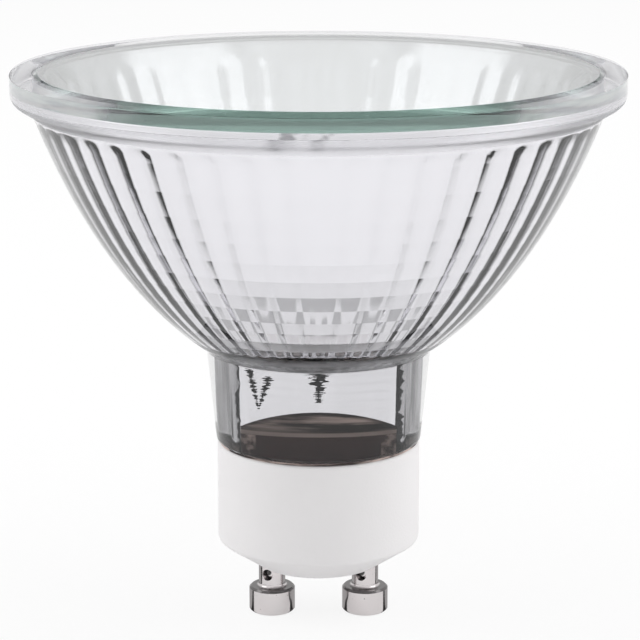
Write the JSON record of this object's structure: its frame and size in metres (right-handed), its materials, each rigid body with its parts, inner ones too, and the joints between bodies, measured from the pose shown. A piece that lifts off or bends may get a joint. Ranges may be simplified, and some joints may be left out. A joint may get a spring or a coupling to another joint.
{
  "type": "halogen spotlight bulb",
  "caption": "Mains halogen reflector lamp: faceted glass bowl with a mirrored inside and flat cover glass, clear neck, white ceramic base and twist-lock contact pins.",
  "frame": {"origin": "midway between the two contact pins, on the plane of their end faces", "axes": "+Z along the lamp's axis towards the cover glass, X through the two contact pins, -Y towards the picture's camera"},
  "size_m": [0.063, 0.063, 0.0587],
  "materials": {
    "reflector_glass": "clear pressed glass, mirror coated on the faceted inside",
    "cover_glass": "clear flat glass with a faint green edge",
    "adhesive": "clear cured adhesive",
    "quartz": "clear quartz glass",
    "tungsten": "drawn tungsten wire",
    "foil": "rolled foil",
    "lead_wire": "drawn wire",
    "fuse": "matt ceramic",
    "cement": "brown-grey fired cement",
    "ceramic": "white matt unglazed ceramic",
    "pin_metal": "turned and nickel plated"
  },
  "bodies": {
    "root": {"reflector": "reflector_glass", "cover_glass": "cover_glass", "cover_adhesive": "adhesive", "capsule_envelope": "quartz", "filament": "tungsten", "filament_support": "tungsten", "inner_lead_left": "tungsten", "inner_lead_right": "tungsten", "foil_left": "foil", "foil_right": "foil", "outer_lead_left": "lead_wire", "outer_lead_right": "lead_wire", "fuse": "fuse", "fuse_lead": "lead_wire", "capsule_cement": "cement", "base_cement": "cement", "ceramic_base": "ceramic", "contact_pin_left": "pin_metal", "contact_pin_right": "pin_metal"}
  },
  "joints": []
}
